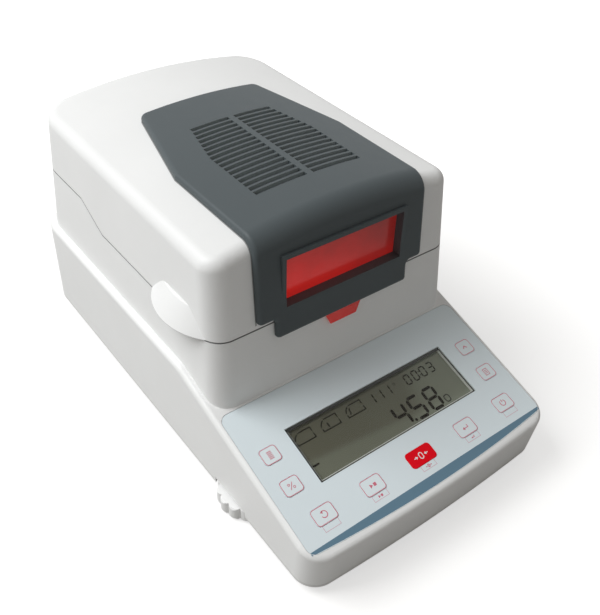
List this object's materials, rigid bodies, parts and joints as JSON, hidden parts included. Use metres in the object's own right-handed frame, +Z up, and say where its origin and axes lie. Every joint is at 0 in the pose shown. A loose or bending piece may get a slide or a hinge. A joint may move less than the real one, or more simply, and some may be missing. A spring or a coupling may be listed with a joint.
{
  "type": "moisture analyzer",
  "caption": "Bench moisture analyzer: hinged halogen heating lid with vent grille and red window over a weighing pan, and a sloping keypad with a display in front.",
  "frame": {"origin": "on the table plane under the feet, at the middle of the footprint", "axes": "+X to the right seen from the front, +Y to the rear (the keypad faces -Y), +Z up"},
  "size_m": [0.215, 0.3806, 0.1948],
  "materials": {
    "white_housing": "fine satin moulded white",
    "grey_pan": "satin off-white",
    "slate_cover": "satin dark slate",
    "membrane": "pale satin film",
    "key_cap": "pale film key",
    "red_key": "red film key",
    "clear_lens": "clear lens",
    "lcd": "liquid crystal panel",
    "black_plastic": "matte black",
    "circuit_board": "green solder mask",
    "steel": "zinc plated",
    "stainless": "brushed stainless",
    "pan_aluminium": "bright pressed",
    "brass": "bright",
    "rubber": "matte",
    "red_window": "transparent red",
    "heater_glass": "clear heat-proof",
    "lamp_glass": "clear quartz",
    "vial": "filled with yellow-green liquid",
    "ceramic": "unglazed white",
    "reflector": "polished inside"
  },
  "bodies": {
    "base": {"housing": "white_housing", "bottom_pan": "grey_pan", "case_screws": "steel", "rear_feet": "rubber", "keypad_overlay": "membrane", "display_lens": "clear_lens", "lcd_glass": "lcd", "lcd_frame": "black_plastic", "keypad_board": "circuit_board", "board_screws": "steel", "key_switches": "black_plastic", "chamber_plate": "stainless", "draft_shield": "stainless", "pan_carrier": "stainless", "level_cup": "black_plastic", "level_vial": "vial", "load_cell": "pan_aluminium", "cell_bracket": "pan_aluminium", "main_board": "circuit_board", "power_board": "circuit_board", "transformer": "steel", "power_inlet": "black_plastic", "inlet_pins": "brass", "fuse_holder": "black_plastic", "serial_port": "steel", "lid_bumpers": "rubber", "hinge_bases": "steel", "hinge_pins": "steel"},
    "lid": {"lid_shell": "white_housing", "vent_cover": "slate_cover", "grille_screen": "black_plastic", "window_plate": "red_window", "light_tongue": "red_window", "heater_tray": "stainless", "tray_screws": "steel", "heater_glass": "heater_glass", "glass_ring": "stainless", "reflector": "reflector", "halogen_lamp": "lamp_glass", "lamp_holder": "ceramic", "temperature_probe": "stainless", "hinge_leaves": "steel"},
    "pan_set": {"sample_pan": "pan_aluminium", "pan_handler": "stainless"},
    "foot_left": {"foot_pad_left": "rubber"},
    "wheel_left": {"level_wheel_left": "white_housing"},
    "foot_right": {"foot_pad_right": "rubber"},
    "wheel_right": {"level_wheel_right": "white_housing"},
    "key_reset_body": {"key_reset": "key_cap"},
    "key_start_stop_body": {"key_start_stop": "key_cap"},
    "key_tare_body": {"key_tare": "red_key"},
    "key_enter_body": {"key_enter": "key_cap"},
    "key_on_off_body": {"key_on_off": "key_cap"},
    "key_menu_body": {"key_menu": "key_cap"},
    "key_conversion_body": {"key_conversion": "key_cap"},
    "key_up_body": {"key_up": "key_cap"},
    "key_print_body": {"key_print": "key_cap"}
  },
  "joints": [
    {"name": "lid_hinge", "type": "hinge", "parent": "base", "child": "lid", "pos_m": [0, 0.16498, 0.1422], "axis": [-1, 0, 0], "range_deg": [0, 58]},
    {"name": "pan_lift", "type": "slide", "parent": "base", "child": "pan_set", "axis": [0, 0, 1], "range_m": [0, 0.005]},
    {"name": "foot_left_slide", "type": "slide", "parent": "base", "child": "foot_left", "axis": [0, 0, -1], "range_m": [0, 0.004]},
    {"name": "wheel_left_turn", "type": "hinge", "parent": "foot_left", "child": "wheel_left", "pos_m": [-0.086, -0.098, 0.0064], "axis": [0, 0, -1], "range_deg": [0, 1440]},
    {"name": "foot_right_slide", "type": "slide", "parent": "base", "child": "foot_right", "axis": [0, 0, -1], "range_m": [0, 0.004]},
    {"name": "wheel_right_turn", "type": "hinge", "parent": "foot_right", "child": "wheel_right", "pos_m": [0.086, -0.098, 0.0064], "axis": [0, 0, -1], "range_deg": [0, 1440]},
    {"name": "press_reset", "type": "slide", "parent": "base", "child": "key_reset_body", "axis": [0, 0.2949, -0.9555], "range_m": [0, 0.0004], "stiffness_N_per_m": 1000, "springref_m": -0.0004},
    {"name": "press_start_stop", "type": "slide", "parent": "base", "child": "key_start_stop_body", "axis": [0, 0.2949, -0.9555], "range_m": [0, 0.0004], "stiffness_N_per_m": 1000, "springref_m": -0.0004},
    {"name": "press_tare", "type": "slide", "parent": "base", "child": "key_tare_body", "axis": [0, 0.2949, -0.9555], "range_m": [0, 0.0004], "stiffness_N_per_m": 1000, "springref_m": -0.0004},
    {"name": "press_enter", "type": "slide", "parent": "base", "child": "key_enter_body", "axis": [0, 0.2949, -0.9555], "range_m": [0, 0.0004], "stiffness_N_per_m": 1000, "springref_m": -0.0004},
    {"name": "press_on_off", "type": "slide", "parent": "base", "child": "key_on_off_body", "axis": [0, 0.2949, -0.9555], "range_m": [0, 0.0004], "stiffness_N_per_m": 1000, "springref_m": -0.0004},
    {"name": "press_menu", "type": "slide", "parent": "base", "child": "key_menu_body", "axis": [0, 0.2949, -0.9555], "range_m": [0, 0.0004], "stiffness_N_per_m": 1000, "springref_m": -0.0004},
    {"name": "press_conversion", "type": "slide", "parent": "base", "child": "key_conversion_body", "axis": [0, 0.2949, -0.9555], "range_m": [0, 0.0004], "stiffness_N_per_m": 1000, "springref_m": -0.0004},
    {"name": "press_up", "type": "slide", "parent": "base", "child": "key_up_body", "axis": [0, 0.2949, -0.9555], "range_m": [0, 0.0004], "stiffness_N_per_m": 1000, "springref_m": -0.0004},
    {"name": "press_print", "type": "slide", "parent": "base", "child": "key_print_body", "axis": [0, 0.2949, -0.9555], "range_m": [0, 0.0004], "stiffness_N_per_m": 1000, "springref_m": -0.0004}
  ],
  "couplings": [
    {"joint": "foot_left_slide", "follows": "wheel_left_turn", "m_per_rad": 0.00015915},
    {"joint": "foot_right_slide", "follows": "wheel_right_turn", "m_per_rad": 0.00015915}
  ]
}
